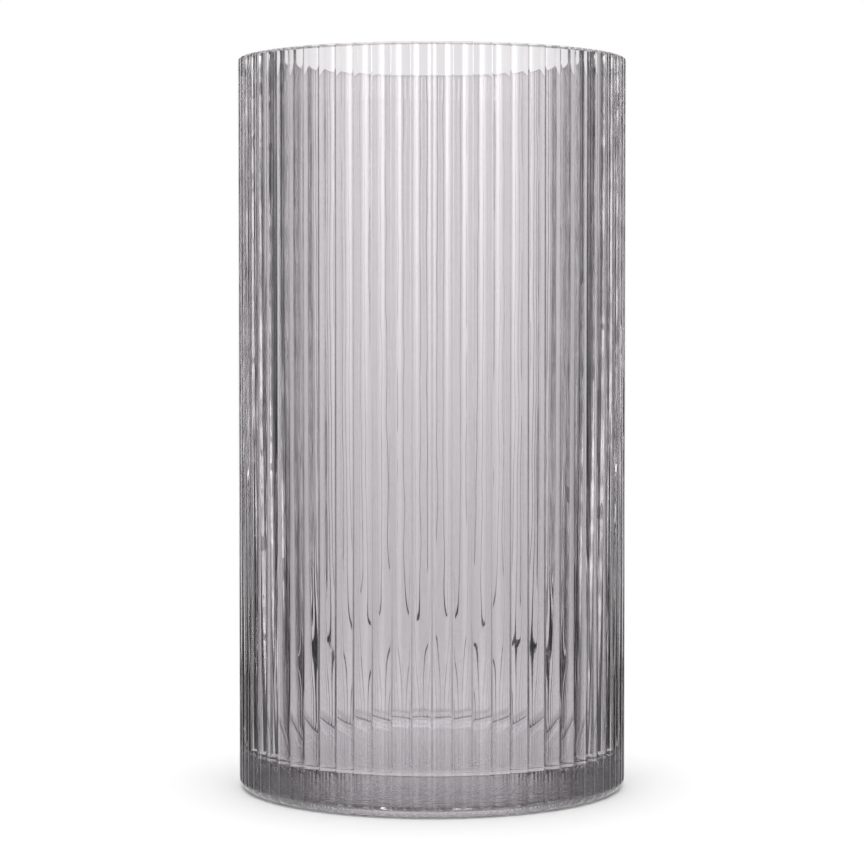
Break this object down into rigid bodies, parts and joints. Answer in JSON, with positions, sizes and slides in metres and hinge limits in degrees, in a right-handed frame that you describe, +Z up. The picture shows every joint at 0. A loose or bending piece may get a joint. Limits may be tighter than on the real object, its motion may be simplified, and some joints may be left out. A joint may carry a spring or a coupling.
{
  "type": "glass cylinder vase",
  "caption": "Tall straight-sided vase in smoke-grey ribbed glass, open at the top, with fine vertical convex ribs on the outside, a smooth bore and a thick flat base.",
  "frame": {"origin": "centre of the foot, in the plane of the ring that the vase stands on", "axes": "+Z up along the axis of the cylinder and out of the mouth; +X and +Y each point along a groove between two ribs"},
  "size_m": [0.1598, 0.1598, 0.3],
  "materials": {
    "smoke_glass": "clear polished glass with a thin reflective smoke-grey lustre, faintly violet"
  },
  "bodies": {
    "root": {"ribbed_glass_body": "smoke_glass"}
  },
  "joints": []
}
